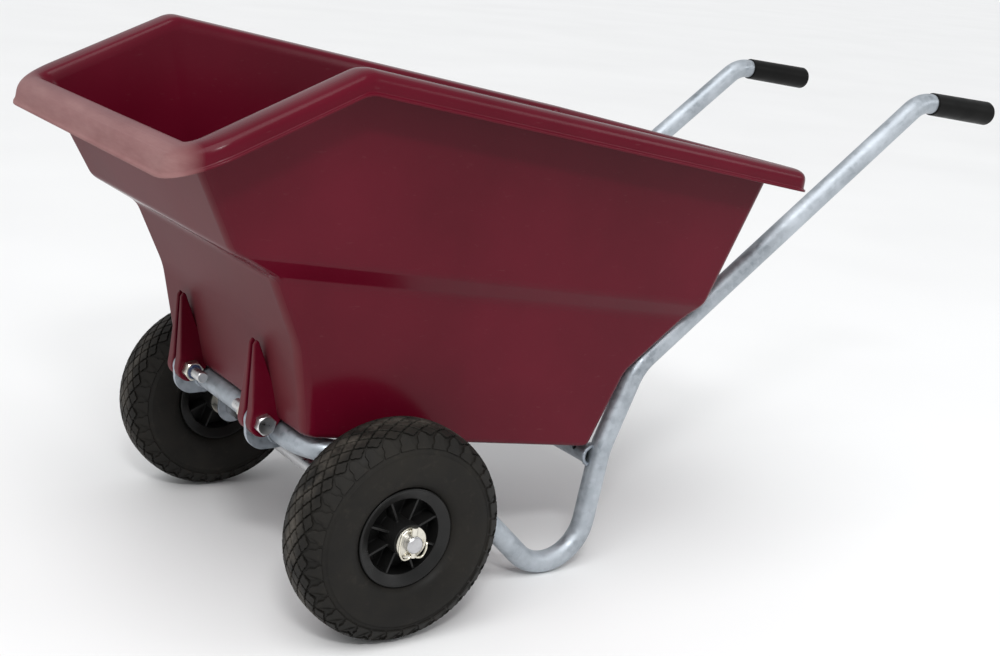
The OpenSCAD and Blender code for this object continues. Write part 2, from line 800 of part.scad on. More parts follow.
// Ring that follows the rim line, dropped by d and moved out by o of the rim width.
function rim_ring(o, d, ra, rb) =
  [for (p = plan(f_in_front + o * rim_front, f_in_rear - o * rim_rear,
                 side_y(peak_v - 12) + o * rim_side, ra, rb, true))
    [p[0], p[1], rim_v(p[0]) - d]];

// Ring on the upper wall planes that ends a depth d below the rim line.
function wall_ring(t, d, ra, rb) =
  [for (p = plan(f_in_front - t - 0.4 * d, f_in_rear + t + 0.2 * d,
                 side_y(peak_v - 12) - t - 0.07 * d, ra, rb, true))
    [p[0], p[1], rim_v(p[0]) - d]];

rc = corner_plan_r;
rk = corner_rear_r;
ri = rc - wall;
rj = rk - wall;
function lf(v) = f_front0 + (v - v0) * lower_front_out / lower_h;
function lr(v) = v < v_heel ? f_rear0 - (v - v0) * heel_out / heel_h
  : f_rear0 - heel_out - (v - v_heel) * (lower_rear_out - heel_out) / (lower_h - heel_h);
function ly(v) = y0 + (v - v0) * lower_side_out / lower_h;

outer_rings = [
  level(lf(v0) - 9, lr(v0) + 7, ly(v0) - 8, rc - 4, rk - 3, v0),
  level(lf(v0 + 3) - 3, lr(v0 + 3) + 2.4, ly(v0 + 3) - 2.4, rc - 1, rk - 1, v0 + 2.6),
  level(lf(v0 + 9), lr(v0 + 9), ly(v0 + 9), rc, rk, v0 + 9),
  level(lf(v_heel), lr(v_heel), ly(v_heel), rc, rk, v_heel),
  level(lf(v1 - 5), lr(v1 - 5), ly(v1 - 5), rc, rk, v1 - 5),
  level(f_front1 + 3, f_rear1 - 1.5, y1 + 1, rc, rk, v1 + 0.6),
  level(f_front2 - 3, f_rear2 + 1.5, y2 - 1.5, rc, rk, v2 - 2),
  level(f_front2 + 2, f_rear2 - 0.6, y2, rc, rk, v2 + 2),
  wall_ring(0, 14, 14, 14),
  rim_ring(0.12, 8, 16, 14),
  rim_ring(0.6, 6.5, 38, 16),
  rim_ring(0.8, 12, 46, 18),
  rim_ring(0.86, skirt_h - 3, 50, 19),
  rim_ring(1, skirt_h, lip_outer_r, rear_outer_r),
  rim_ring(1, skirt_h - 3, lip_outer_r, rear_outer_r),
  rim_ring(0.93, skirt_h - 6, 54, 20),
  rim_ring(0.9, 11, 50, 19),
  rim_ring(0.82, 4.6, 46, 18),
  rim_ring(0.64, 1, 38, 16),
  rim_ring(0.42, 0, 28, 14),
  rim_ring(0.18, 1.6, 18, 11),
  rim_ring(0, 6.5, 13, 9)];

inner_rings = [
  wall_ring(wall, 18, 11, 9),
  level(f_front2 + 2 - wall, f_rear2 - 0.6 + wall, y2 - wall, ri, rj, v2 + 3),
  level(f_front2 - 3 - wall, f_rear2 + 1.5 + wall, y2 - 1.5 - wall, ri, rj, v2 - 2 + 2.4),
  level(f_front1 + 3 - wall, f_rear1 - 1.5 + wall, y1 + 1 - wall, ri, rj, v1 + 0.6 + 3),
  level(lf(v1 - 3) - wall, lr(v1 - 3) + wall + 1, ly(v1 - 3) - wall, ri, rj, v1 - 3),
  level(lf(v_heel) - wall - 0.5, lr(v_heel) + wall, ly(v_heel) - wall, ri, rj, v_heel + 2),
  level(lf(v0 + 14) - wall - 0.5, lr(v0 + 16) + wall, ly(v0 + 14) - wall, ri, rj, v0 + 14),
  level(lf(v0 + 9) - wall - 3, lr(v0 + 9) + wall + 4, ly(v0 + 9) - wall - 2.4, ri - 1, rj - 1, v0 + wall + 2.6),
  level(lf(v0 + 9) - wall - 9, lr(v0 + 9) + wall + 11, ly(v0 + 9) - wall - 8, ri - 4, rj - 3, v0 + wall)];

rings = concat(outer_rings, inner_rings);
rn = len(rings[0]);
rm = len(rings);

module shell() {
  pts = [for (r = rings) for (p = r) p];
  faces = concat(
    [[for (i = [0 : rn - 1]) i]],
    [for (k = [0 : rm - 2]) for (i = [0 : rn - 1]) let(j = (i + 1) % rn)
      each [[k * rn + i, (k + 1) * rn + i, (k + 1) * rn + j], [k * rn + i, (k + 1) * rn + j, k * rn + j]]],
    [[for (i = [rn - 1 : -1 : 0]) (rm - 1) * rn + i]]);
  polyhedron(points = pts, faces = faces, convexity = 6);
}

// Lug fin: rounded foot round the pivot, tapering up onto the front wall. Its face
// beside the tab is at y = 0, and its other face leans in towards the tip.
module fin() {
  intersection() {
    rotate([90, 0, 0])
      translate([0, 0, -fin_t])
        linear_extrude(fin_t)
          union() {
            circle(r = lug_r);
            polygon([[lug_r, 0], [lf(fin_top) + 0.3, fin_top],
                     [lf(fin_top) - 2.6, fin_top], [lf(v0 + 9) - 2.6, v0 + 9],
                     [lf(v0 + 9) - 2.6 - 6, v0 + 2.4], [-lug_r + 1, -4], [0, -lug_r + 2]]);
          }
    rotate([90, 0, 90])
      translate([0, 0, -fin_top])
        linear_extrude(2 * fin_top)
          polygon([[-1, -lug_r - 1], [fin_t + 1, -lug_r - 1], [fin_t + 1, lug_r],
                   [fin_t, lug_r], [fin_tip_t, fin_top], [fin_tip_t, fin_top + 1], [-1, fin_top + 1]]);
  }
}

module tub() {
  color([0.36, 0.03, 0.09])
    at_pivot()
      rotate([0, -tub_tilt, 0])
        difference() {
          union() {
            shell();
            for (s = [-1, 1], face = [-1, 1])
              translate([0, s * lug_y + face * (tab_t / 2 + side_play), 0])
                mirror([0, (1 - face) / 2, 0])
                  fin();
          }
          for (s = [-1, 1])
            translate([0, s * lug_y, 0])
              rotate([90, 0, 0])
                cylinder(r = bolt_d / 2 + snug_fit, h = 2 * fin_t + tab_t + 6, center = true);
        }
}

frame_tube();
rear_cross_bar();
tab_plate_left();
tab_plate_right();
axle_bracket_left();
axle_bracket_right();
axle();
grip_left();
grip_right();
washers_outer();
washers_inner();
lock_pins();
lock_springs();
split_pins();
tub();
pivot_bolts();
pivot_nuts();
nut_collars();
tyre_left();
rim_left();
bushes_left();
tyre_right();
rim_right();
bushes_right();
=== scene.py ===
"""Looks of the two-wheeled tipping barrow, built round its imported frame.

Metres, +X towards the tipping lip, +Y to the left, +Z up, floor at z = 0. Outlines are
worked out in millimetres from the axle or the pivot, and mm() turns them into metres.
"""

import math

import bmesh
import bpy
from mathutils import Matrix, Vector, noise


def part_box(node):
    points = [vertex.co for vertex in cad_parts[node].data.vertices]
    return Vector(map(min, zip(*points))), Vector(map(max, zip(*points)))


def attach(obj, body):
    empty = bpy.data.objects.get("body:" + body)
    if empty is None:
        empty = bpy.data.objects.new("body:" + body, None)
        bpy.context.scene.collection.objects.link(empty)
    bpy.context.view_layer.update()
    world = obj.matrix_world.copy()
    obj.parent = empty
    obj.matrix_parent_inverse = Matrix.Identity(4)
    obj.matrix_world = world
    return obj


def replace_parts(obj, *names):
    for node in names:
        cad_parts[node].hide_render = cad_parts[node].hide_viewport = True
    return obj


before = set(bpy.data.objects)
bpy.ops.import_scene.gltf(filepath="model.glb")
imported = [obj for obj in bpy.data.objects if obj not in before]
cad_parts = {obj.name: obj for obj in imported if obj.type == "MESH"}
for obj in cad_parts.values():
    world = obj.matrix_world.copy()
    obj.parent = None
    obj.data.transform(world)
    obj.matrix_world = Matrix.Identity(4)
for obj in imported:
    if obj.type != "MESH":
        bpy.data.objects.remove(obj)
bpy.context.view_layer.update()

# ---------- places taken from the frame ----------
def middle(node):
    low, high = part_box(node)
    return (low + high) / 2


AXLE = middle("axle")
PIVOT = middle("pivot_bolts")
FRONT_AHEAD, FRONT_Z = 76.6, 207.5  # front cross run, from the axle and the floor
RAIL_Y = 189.0  # side runs, from the middle
TUBE_R = 14.0
RAIL_SLOPE_DEG = 8.4  # the rails fall to the rear by this much
SKID_BACK, SKID_R = 271.8, 59.5  # middle of the skid bend behind the axle, and its radius
SKID_Z = TUBE_R + SKID_R
LEG_LEAN_DEG = 9.0  # the legs lean to the rear by this much
WHEEL_Y = middle("rim_left").y


def mm(x, y, z):
    """A point ahead of the axle, left of the middle and above the floor."""
    return Vector((AXLE.x + x / 1000, y / 1000, z / 1000))


# ---------- mesh helpers ----------
def add_mesh(name, verts, faces, material, body, slot, smooth=True):
    """A new mesh object, which rides on the body if one is named."""
    mesh = bpy.data.meshes.new(name)
    mesh.from_pydata([tuple(v) for v in verts], [], faces)
    mesh.validate()
    mesh.materials.append(material)
    if smooth:
        mesh.shade_smooth()
    else:
        mesh.shade_flat()
    obj = bpy.data.objects.new(name, mesh)
    bpy.context.scene.collection.objects.link(obj)
    if body:
        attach(obj, body)
    return obj


def fix_normals(obj):
    bm = bmesh.new()
    bm.from_mesh(obj.data)
    bmesh.ops.recalc_face_normals(bm, faces=bm.faces)
    bm.to_mesh(obj.data)
    bm.free()
    return obj


def soften(obj, width, segments=3, angle=30):
    """Rounds the hard edges of a piece, and keeps its flat faces flat."""
    bevel = obj.modifiers.new("edges", "BEVEL")
    bevel.width = width
    bevel.segments = segments
    bevel.limit_method = "ANGLE"
    bevel.angle_limit = math.radians(angle)
    bevel.harden_normals = False
    obj.modifiers.new("shading", "WEIGHTED_NORMAL").keep_sharp = False
    return obj


def fillet_path(points, radii, step_deg=4.0):
    """A line through the points, with an arc of the given radius at each inner point."""
    line = [points[0]]
    for before, corner, after, radius in zip(points, points[1:], points[2:], radii):
        a = (before - corner).normalized()
        b = (after - corner).normalized()
        half = a.angle(b) / 2
        reach = radius / math.tan(half)
        centre = corner + (a + b).normalized() * radius / math.sin(half)
        start = corner + a * reach - centre
        end = corner + b * reach - centre
        turn = start.angle(end)
        count = max(2, round(math.degrees(turn) / step_deg))
        for i in range(count + 1):
            t = i / count
            arc = start * math.sin((1 - t) * turn) + end * math.sin(t * turn)
            line.append(centre + arc / math.sin(turn))
    line.append(points[-1])
    return line


def frames_along(line, closed=False):
    """A sideways and an upward direction at each point of a line, without twist."""
    count = len(line)
    out = []
    side = None
    for i, point in enumerate(line):
        before = line[i - 1] if i or closed else point
        after = line[(i + 1) % count] if i < count - 1 or closed else point
        ahead = (after - before).normalized()
        if side is None:
            side = Vector((0, 1, 0)) if abs(ahead.y) < 0.9 else Vector((0, 0, 1))
        side = (side - ahead * side.dot(ahead)).normalized()
        out.append((side.copy(), ahead.cross(side)))
    return out


def sweep(line, radius, sides, closed=False):
    """Vertices and faces of a round bar along a line.

    The radius is a number, or a function of the place in the line and the angle.
    """
    verts, faces = [], []
    size = radius if callable(radius) else lambda i, a: radius
    for i, (point, (side, up)) in enumerate(zip(line, frames_along(line, closed))):
        for k in range(sides):
            a = 2 * math.pi * k / sides
            verts.append(point + (side * math.cos(a) + up * math.sin(a)) * size(i, a))
    rows = len(line)
    for i in range(rows if closed else rows - 1):
        for k in range(sides):
            a, b = i * sides, (i + 1) % rows * sides
            n = (k + 1) % sides
            faces.append((a + k, a + n, b + n, b + k))
    if not closed:
        faces.append(tuple(range(sides))[::-1])
        faces.append(tuple((rows - 1) * sides + k for k in range(sides)))
    return verts, faces


def join_parts(parts):
    """One vertex and face list from several."""
    verts, faces = [], []
    for v, f in parts:
        base = len(verts)
        verts += list(v)
        faces += [tuple(base + i for i in face) for face in f]
    return verts, faces


# ---------- materials ----------
MIX_FACTOR, MIX_A, MIX_B, MIX_COLOR = 0, 6, 7, 2  # the Mix node's sockets for colours


class Shader:
    """A Principled material and short calls that add nodes to it."""

    def __init__(self, name, roughness, metallic=0.0, **inputs):
        self.material = bpy.data.materials.new(name)
        self.material.use_nodes = True
        self.tree = self.material.node_tree
        self.bsdf = self.tree.nodes["Principled BSDF"]
        self.bsdf.inputs["Roughness"].default_value = roughness
        self.bsdf.inputs["Metallic"].default_value = metallic
        for key, value in inputs.items():
            self.bsdf.inputs[key.replace("_", " ")].default_value = value
        coords = self.tree.nodes.new("ShaderNodeTexCoord").outputs
        self.place = coords["Object"]
        self.facing = coords["Normal"]

    def node(self, kind, settings=(), **inputs):
        """Adds a node; inputs are numbers, colours or other nodes' outputs."""
        made = self.tree.nodes.new(kind)
        for key, value in dict(settings).items():
            setattr(made, key, value)
        for key, value in inputs.items():
            self.feed(made.inputs[key.replace("_", " ")], value)
        return made

    def feed(self, socket, value):
        if isinstance(value, bpy.types.NodeSocket):
            self.tree.links.new(value, socket)
        else:
            socket.default_value = value

    def stretched(self, x, y, z, turn_z=0.0):
        """Object coordinates scaled along each axis, for a texture drawn out one way."""
        mapping = self.node("ShaderNodeMapping", Vector=self.place)
        mapping.inputs["Scale"].default_value = (x, y, z)
        mapping.inputs["Rotation"].default_value = (0, 0, turn_z)
        return mapping.outputs["Vector"]

    def noise(self, scale, detail=4.0, roughness=0.55, vector=None, distortion=0.0):
        made = self.node(
            "ShaderNodeTexNoise",
            Vector=vector or self.place,
            Scale=scale,
            Detail=detail,
            Roughness=roughness,
            Distortion=distortion,
        )
        return made.outputs["Fac"]

    def cells(self, scale):
        return self.node("ShaderNodeTexVoronoi", Vector=self.place, Scale=scale)

    def ramp(self, value, low, high, a=0.0, b=1.0):
        """Maps low to a and high to b, and holds both ends."""
        made = self.node("ShaderNodeMapRange", Value=value)
        for key, number in (("From Min", low), ("From Max", high), ("To Min", a), ("To Max", b)):
            made.inputs[key].default_value = number
        return made.outputs["Result"]

    def math(self, kind, a, b=0.0):
        made = self.node("ShaderNodeMath", {"operation": kind})
        self.feed(made.inputs[0], a)
        self.feed(made.inputs[1], b)
        return made.outputs[0]

    def mix(self, factor, a, b):
        made = self.node("ShaderNodeMix", {"data_type": "RGBA"})
        self.feed(made.inputs[MIX_FACTOR], factor)
        for place, color in ((MIX_A, a), (MIX_B, b)):
            if not isinstance(color, bpy.types.NodeSocket):
                color = (*color, 1)
            self.feed(made.inputs[place], color)
        return made.outputs[MIX_COLOR]

    def axis(self, name):
        split = self.node("ShaderNodeSeparateXYZ", Vector=self.place)
        return split.outputs[name]

    def bump(self, height, strength, distance, normal=None):
        made = self.node("ShaderNodeBump", Height=height, Strength=strength, Distance=distance)
        if normal:
            self.tree.links.new(normal, made.inputs["Normal"])
        return made.outputs["Normal"]

    def finish(self, color=None, roughness=None, normal=None):
        if color is not None:
            self.feed(self.bsdf.inputs["Base Color"], color)
        if roughness is not None:
            self.feed(self.bsdf.inputs["Roughness"], roughness)
        if normal is not None:
            self.feed(self.bsdf.inputs["Normal"], normal)
        return self.material


def tub_plastic():
    """Moulded burgundy plastic: slow colour change, fine scratches, pale scuffs on the lip edge."""
    s = Shader("tub_plastic", 0.22, Specular_IOR_Level=0.15)
    cloud = s.noise(5.0, 3.0)
    base = s.mix(s.ramp(cloud, 0.3, 0.7), (0.076, 0.0016, 0.0085), (0.100, 0.0030, 0.0125))
    fine = s.noise(70.0, 3.0, vector=s.stretched(1.0, 26.0, 3.5, 0.5))
    scratch = s.ramp(fine, 0.66, 0.78)
    base = s.mix(s.math("MULTIPLY", scratch, 0.07), base, (0.30, 0.16, 0.16))
    # A brown haze on the wall over the pivots, where it faces down and forwards: painted reflection of
    # the pale floor, mixed with dust.
    facing = s.node("ShaderNodeSeparateXYZ", Vector=s.facing).outputs["X"]
    outside = s.ramp(s.axis("X"), PIVOT.x - 0.030, PIVOT.x - 0.010)
    below = s.ramp(s.axis("Z"), 0.565, 0.545)
    floor_sheen_and_dust = s.math("MULTIPLY", s.math("MULTIPLY", outside, below), s.ramp(facing, 0.55, 0.85))
    film = s.ramp(s.noise(12.0, 5.0, 0.65), 0.25, 0.8, 0.45, 1.0)
    # Painted floor reflection with dust: a brown-grey tint on the faces that look forwards and down.
    base = s.mix(s.math("MULTIPLY", s.math("MULTIPLY", floor_sheen_and_dust, film), 0.17), base, (0.27, 0.125, 0.115))
    # Worn belt round the tipping lip, with one dark line of rubbed dirt near its edge.
    lip_x = PIVOT.x + 0.150
    ahead = s.ramp(s.axis("X"), lip_x, lip_x + 0.022)
    speck = s.noise(26.0, 5.0, 0.7, vector=s.stretched(1.0, 0.55, 3.2))
    worn = s.math("MULTIPLY", ahead, s.ramp(speck, 0.12, 0.70, 0.45, 1.0))
    base = s.mix(s.math("MULTIPLY", worn, 0.66), base, (0.34, 0.205, 0.195))
    streak = s.noise(15.0, 6.0, 0.75, vector=s.stretched(1.0, 1.1, 9.0))
    edge = s.math("MULTIPLY", s.ramp(s.axis("Z"), 0.470, 0.474), s.ramp(s.axis("Z"), 0.486, 0.480))
    dark = s.math("MULTIPLY", s.math("MULTIPLY", ahead, edge), s.ramp(streak, 0.50, 0.60))
    base = s.mix(s.math("MULTIPLY", dark, 0.70), base, (0.035, 0.016, 0.018))
    gloss = s.ramp(s.noise(3.0, 4.0), 0.3, 0.7, 0.19, 0.28)
    gloss = s.math("ADD", gloss, s.math("MULTIPLY", worn, 0.28))
    gloss = s.math("ADD", gloss, s.math("MULTIPLY", floor_sheen_and_dust, 0.30))
    peel = s.bump(s.noise(160.0, 2.0), 0.05, 0.001)
    wave = s.bump(s.noise(7.0, 1.0), 0.20, 0.004, peel)
    return s.finish(base, gloss, wave)


def galvanised(name="galvanised_tube", tint=(1.0, 1.0, 1.0), worn=0.0):
    """Hot dip zinc: cloudy patches, small bright spangle and a few dull stains."""
    s = Shader(name, 0.44, 0.68, Specular_IOR_Level=0.4)
    cloud = s.noise(16.0, 5.0, 0.65)
    cell = s.cells(150.0).outputs["Color"]
    grain = s.node("ShaderNodeSeparateXYZ", Vector=cell).outputs["X"]
    pale = tuple(c * t for c, t in zip((0.47, 0.51, 0.55), tint))
    dull = tuple(c * t for c, t in zip((0.24, 0.27, 0.30), tint))
    base = s.mix(s.ramp(cloud, 0.35, 0.68), dull, pale)
    base = s.mix(s.math("MULTIPLY", grain, 0.28), base, (0.60, 0.64, 0.69))
    stain = s.ramp(s.noise(38.0, 6.0, 0.7), 0.62, 0.72)
    base = s.mix(s.math("MULTIPLY", stain, 0.35 + worn), base, (0.22, 0.23, 0.25))
    rough = s.ramp(s.math("ADD", cloud, s.math("MULTIPLY", grain, 0.35)), 0.4, 0.95, 0.34, 0.60)
    bump = s.bump(s.noise(60.0, 4.0, 0.6), 0.22, 0.0012)
    return s.finish(base, rough, bump)


def plated(name, color, roughness, scratch_scale=60.0):
    """Bright plated or drawn steel with small dulled patches and rub marks."""
    s = Shader(name, roughness, 1.0)
    patch = s.noise(90.0, 4.0, 0.6)
    base = s.mix(s.ramp(patch, 0.35, 0.7), tuple(c * 0.78 for c in color), color)
    lines = s.noise(scratch_scale, 3.0, 0.5, vector=s.stretched(1.0, 12.0, 1.0))
    rough = s.ramp(s.math("ADD", patch, lines), 0.7, 1.3, roughness - 0.10, roughness + 0.14)
    return s.finish(base, rough, s.bump(lines, 0.12, 0.0004))


def black_plastic(name, level, roughness, grain, specular):
    """Moulded black plastic of a given darkness, with a fine grain."""
    s = Shader(name, roughness, Specular_IOR_Level=specular)
    cloud = s.noise(20.0, 4.0, 0.6)
    dark = (level, level, level * 0.97)
    pale = (level * 1.9, level * 1.85, level * 1.8)
    base = s.mix(s.ramp(cloud, 0.3, 0.75), dark, pale)
    rough = s.ramp(s.noise(55.0, 3.0), 0.3, 0.7, roughness - 0.07, roughness + 0.10)
    return s.finish(base, rough, s.bump(s.noise(grain, 2.0), 0.16, 0.0005))


def on_crown(s):
    """1 near the middle plane of either tread, 0 on the shoulders and sidewalls."""
    off = s.math("ABSOLUTE", s.math("SUBTRACT", s.math("ABSOLUTE", s.axis("Y")), WHEEL_Y))
    across = s.ramp(off, 0.006, 0.022, 1.0, 0.0)
    up = s.math("SUBTRACT", s.axis("Z"), AXLE.z)
    along = s.math("SUBTRACT", s.axis("X"), AXLE.x)
    far = s.math("SQRT", s.math("ADD", s.math("MULTIPLY", up, up), s.math("MULTIPLY", along, along)))
    return s.math("MULTIPLY", across, s.ramp(far, 0.126, 0.1285))


def tyre_rubber():
    """Matt black rubber with a brown bloom, dusty where it has touched the ground."""
    s = Shader("tyre_rubber", 0.62, Specular_IOR_Level=0.16)
    cloud = s.noise(18.0, 5.0, 0.65)
    base = s.mix(s.ramp(cloud, 0.35, 0.72), (0.0085, 0.0078, 0.0068), (0.0165, 0.0148, 0.0122))
    dust = s.ramp(s.noise(75.0, 6.0, 0.75), 0.56, 0.74)
    base = s.mix(s.math("MULTIPLY", dust, 0.22), base, (0.060, 0.050, 0.040))
    # Grey road dust on the crown of the tread, well out from the axle.
    crown = s.math("MULTIPLY", on_crown(s), s.ramp(s.noise(33.0, 5.0, 0.7), 0.40, 0.68))
    base = s.mix(s.math("MULTIPLY", crown, 0.55), base, (0.125, 0.110, 0.092))
    rough = s.ramp(cloud, 0.3, 0.7, 0.52, 0.72)
    return s.finish(base, rough, s.bump(s.noise(240.0, 3.0), 0.20, 0.0005))


def nylon_blue():
    """The dark blue nylon of the lock nuts' collars."""
    s = Shader("nut_nylon", 0.35)
    base = s.mix(s.ramp(s.noise(120.0), 0.3, 0.7), (0.02, 0.035, 0.09), (0.035, 0.055, 0.13))
    return s.finish(base, None, s.bump(s.noise(400.0, 2.0), 0.1, 0.0003))


TUB = tub_plastic()
GALV = galvanised()
PLATE = galvanised("galvanised_plate", (0.97, 0.98, 1.0), 0.15)
BEAD = galvanised("weld_bead", (0.86, 0.87, 0.90), 0.30)
ZINC = plated("zinc_hardware", (0.80, 0.77, 0.68), 0.30)
BOLT = plated("bolt_steel", (0.70, 0.70, 0.70), 0.34)
SHAFT = plated("bare_axle", (0.60, 0.60, 0.61), 0.36)
WIRE = plated("spring_wire", (0.82, 0.78, 0.66), 0.24)
BUSH = plated("bush_steel", (0.40, 0.40, 0.42), 0.40)
GRIP = black_plastic("grip_plastic", 0.0028, 0.40, 500.0, 0.09)
RIM = black_plastic("rim_plastic", 0.0060, 0.34, 420.0, 0.26)
RUBBER = tyre_rubber()
NYLON = nylon_blue()


# ---------- tub ----------
# Plan outlines are in the tub's own frame: f ahead of the pivot along the floor,
# y to the left, v square to the floor. Sizes in millimetres.
TILT = math.radians(8.5)
FLOOR_V, FLOOR_F, FLOOR_R, FLOOR_Y = 6.4, -16.7, -429.5, 198.0
LOWER_RISE = 181.6  # height of the lower tier
LOWER_RUN = 83.3  # how far the front of the lower tier slopes forward
TOP_V = FLOOR_V + LOWER_RISE
HEEL_V = FLOOR_V + 105.0
LEDGE_V = TOP_V + 24.0
LOW_F, LOW_R, LOW_Y = FLOOR_F + LOWER_RUN, FLOOR_R - 99.0, FLOOR_Y + 13.0
HEEL_BACK = 48.2  # front wall at the heel's height, behind the top of the lower tier
HEEL_Y = FLOOR_Y + 7.5
UP_F, UP_R, UP_Y = LOW_F + 58.0, LOW_R - 16.0, LOW_Y + 16.0
HEEL_R = FLOOR_R - 28.0
FRONT_RATE, SIDE_RATE, REAR_RATE = 0.70, 0.076, 0.242
PEAK_F, PEAK_V, REAR_FALL, LIP_FALL = 38.0, 428.5, 0.0353, 0.63
RIM_SIDE, RIM_FRONT, RIM_REAR, SKIRT = 48.0, 25.0, 22.5, 26.0
WALL = 5.0
CORNER_F, CORNER_R = 16.0, 11.0
ARC_STEPS = 9
SIDE_STEPS = 8
PEAK_SOFT = 9.0
FLAT_GAP = 2.0  # least straight between a corner and the first mark along the side
MID_FRONT, MID_SIDE = 150.0, 140.0  # the small ring in the middle of the underside
INNER_FRONT, INNER_SIDE = 120.0, 120.0  # and the one in the middle of the inner floor


def rim_line(f):
    """Height of the rim, falling away both ways from its peak."""
    ahead = f - PEAK_F
    if abs(ahead) >= PEAK_SOFT:
        return PEAK_V - (ahead * LIP_FALL if ahead > 0 else -ahead * REAR_FALL)
    t = (ahead + PEAK_SOFT) / (2 * PEAK_SOFT)
    low, high = PEAK_V - PEAK_SOFT * REAR_FALL, PEAK_V - PEAK_SOFT * LIP_FALL
    return (1 - t) ** 2 * low + 2 * t * (1 - t) * PEAK_V + t * t * high


IN_F = (UP_F + FRONT_RATE * (PEAK_V + PEAK_F * LIP_FALL - LEDGE_V)) / (1 + FRONT_RATE * LIP_FALL)
IN_R = (UP_R - REAR_RATE * (PEAK_V - PEAK_F * REAR_FALL - LEDGE_V)) / (1 + REAR_RATE * REAR_FALL)
IN_Y = UP_Y + (PEAK_V - 12 - LEDGE_V) * SIDE_RATE


def half_outline(front, rear, half, r_front, r_rear, locked):
    """Left half of a plan outline, from the front round to the rear.

    A locked outline keeps the marks along its side at the same f on every ring.
    """
    out = []
    for i in range(ARC_STEPS + 1):
        a = math.pi / 2 * i / ARC_STEPS
        out.append((front - r_front + r_front * math.cos(a), half - r_front + r_front * math.sin(a)))
    marks = [PEAK_F + PEAK_SOFT * (1 - i / (SIDE_STEPS / 2)) for i in range(SIDE_STEPS + 1)]
    for m in marks:
        if not locked:
            share = (m - IN_R) / (IN_F - IN_R)
            straight = front - r_front - rear - r_rear - 2 * FLAT_GAP
            m = rear + r_rear + FLAT_GAP + straight * share
        out.append((m, half))
    for i in range(ARC_STEPS + 1):
        a = math.pi / 2 * (1 + i / ARC_STEPS)
        out.append((rear + r_rear + r_rear * math.cos(a), half - r_rear + r_rear * math.sin(a)))
    return out


def outline(front, rear, half, r_front, r_rear, locked=False):
    left = half_outline(front, rear, half, r_front, r_rear, locked)
    return left + [(f, -y) for f, y in reversed(left)]


def level(front, rear, half, v, inset=0.0):
    """A level ring; inset moves it inside the wall."""
    r_front, r_rear = max(CORNER_F - inset, 2), max(CORNER_R - inset, 2)
    plan = outline(front - inset, rear + inset, half - inset, r_front, r_rear)
    return [Vector((f, y, v)) for f, y in plan]


def rim_ring(share, drop, r_front, r_rear):
    """A ring out over the rim by a share of its width, below the rim line by drop."""
    front, rear = IN_F + share * RIM_FRONT, IN_R - share * RIM_REAR
    plan = outline(front, rear, IN_Y + share * RIM_SIDE, r_front, r_rear, True)
    return [Vector((f, y, rim_line(f) - drop)) for f, y in plan]


def wall_top(inset, drop, r_front, r_rear):
    """The top of an upper wall, below the rim line by drop."""
    front, rear = IN_F - inset - 0.4 * drop, IN_R + inset + 0.2 * drop
    plan = outline(front, rear, IN_Y - inset - 0.07 * drop, r_front, r_rear, True)
    return [Vector((f, y, rim_line(f) - drop)) for f, y in plan]


def rounded(rings, reach, steps=5):
    """Rounds the bend at each ring over the given reach, point by point."""
    out = [rings[0]]
    for before, ring, after, near in zip(rings, rings[1:], rings[2:], reach[1:-1]):
        if near <= 0:
            out.append(ring)
            continue
        for k in range(steps + 1):
            t = k / steps
            row = []
            for a, p, b in zip(before, ring, after):
                start = p + (a - p) * min(0.5, near / max((a - p).length, 1e-6))
                end = p + (b - p) * min(0.5, near / max((b - p).length, 1e-6))
                row.append(start * (1 - t) ** 2 + p * 2 * t * (1 - t) + end * t * t)
            out.append(row)
    out.append(rings[-1])
    return out


def from_tub(point):
    """Tub frame in millimetres to the row frame in metres."""
    f, y, v = point.x / 1000, point.y / 1000, point.z / 1000
    c, s = math.cos(TILT), math.sin(TILT)
    return Vector((PIVOT.x + f * c - v * s, y, PIVOT.z + f * s + v * c))


def tub_rings():
    """Control rings, with the reach of the rounding at each.

    They run from the middle of the underside, out over the rim, to the middle of the
    inner floor.
    """
    mid = (FLOOR_F + FLOOR_R) / 2
    return [
        (level(mid + MID_FRONT, mid - MID_FRONT, MID_SIDE, FLOOR_V), 0),
        (level(FLOOR_F, FLOOR_R, FLOOR_Y, FLOOR_V), 8),
        (level(LOW_F - HEEL_BACK, HEEL_R, HEEL_Y, HEEL_V), 12),
        (level(LOW_F, LOW_R, LOW_Y, TOP_V), 10),
        (level(UP_F, UP_R, UP_Y, LEDGE_V), 8),
        (wall_top(0, 14, 14, 14), 3),
        (rim_ring(0.16, 8, 16, 14), 3),
        (rim_ring(0.66, 7, 40, 16), 5),
        (rim_ring(0.82, 12, 47, 18), 5),
        (rim_ring(0.87, SKIRT - 1.4, 50, 19), 0.8),
        (rim_ring(0.92, SKIRT, 53, 20), 0.5),
        (rim_ring(1.0, SKIRT, 58, 22), 0.9),
        (rim_ring(1.0, SKIRT - 2.6, 58, 22), 0.9),
        (rim_ring(0.93, SKIRT - 4.0, 54, 20), 1.5),
        (rim_ring(0.91, 6.5, 51, 19), 8),
        (rim_ring(0.70, 0.2, 41, 17), 10),
        (rim_ring(0.34, -0.3, 25, 13), 8),
        (rim_ring(0.0, 2.5, 13, 9), 6),
        (wall_top(WALL, 20, 11, 9), 0),
        (level(UP_F, UP_R, UP_Y, LEDGE_V + 3, WALL), 6),
        (level(LOW_F, LOW_R, LOW_Y, TOP_V + 3, WALL), 7),
        (level(LOW_F - HEEL_BACK, HEEL_R, HEEL_Y, HEEL_V + 1, WALL), 12),
        (level(FLOOR_F + 1, FLOOR_R, FLOOR_Y, FLOOR_V + WALL, WALL), 12),
        (level(mid + INNER_FRONT, mid - INNER_FRONT, INNER_SIDE, FLOOR_V + WALL), 0),
    ]


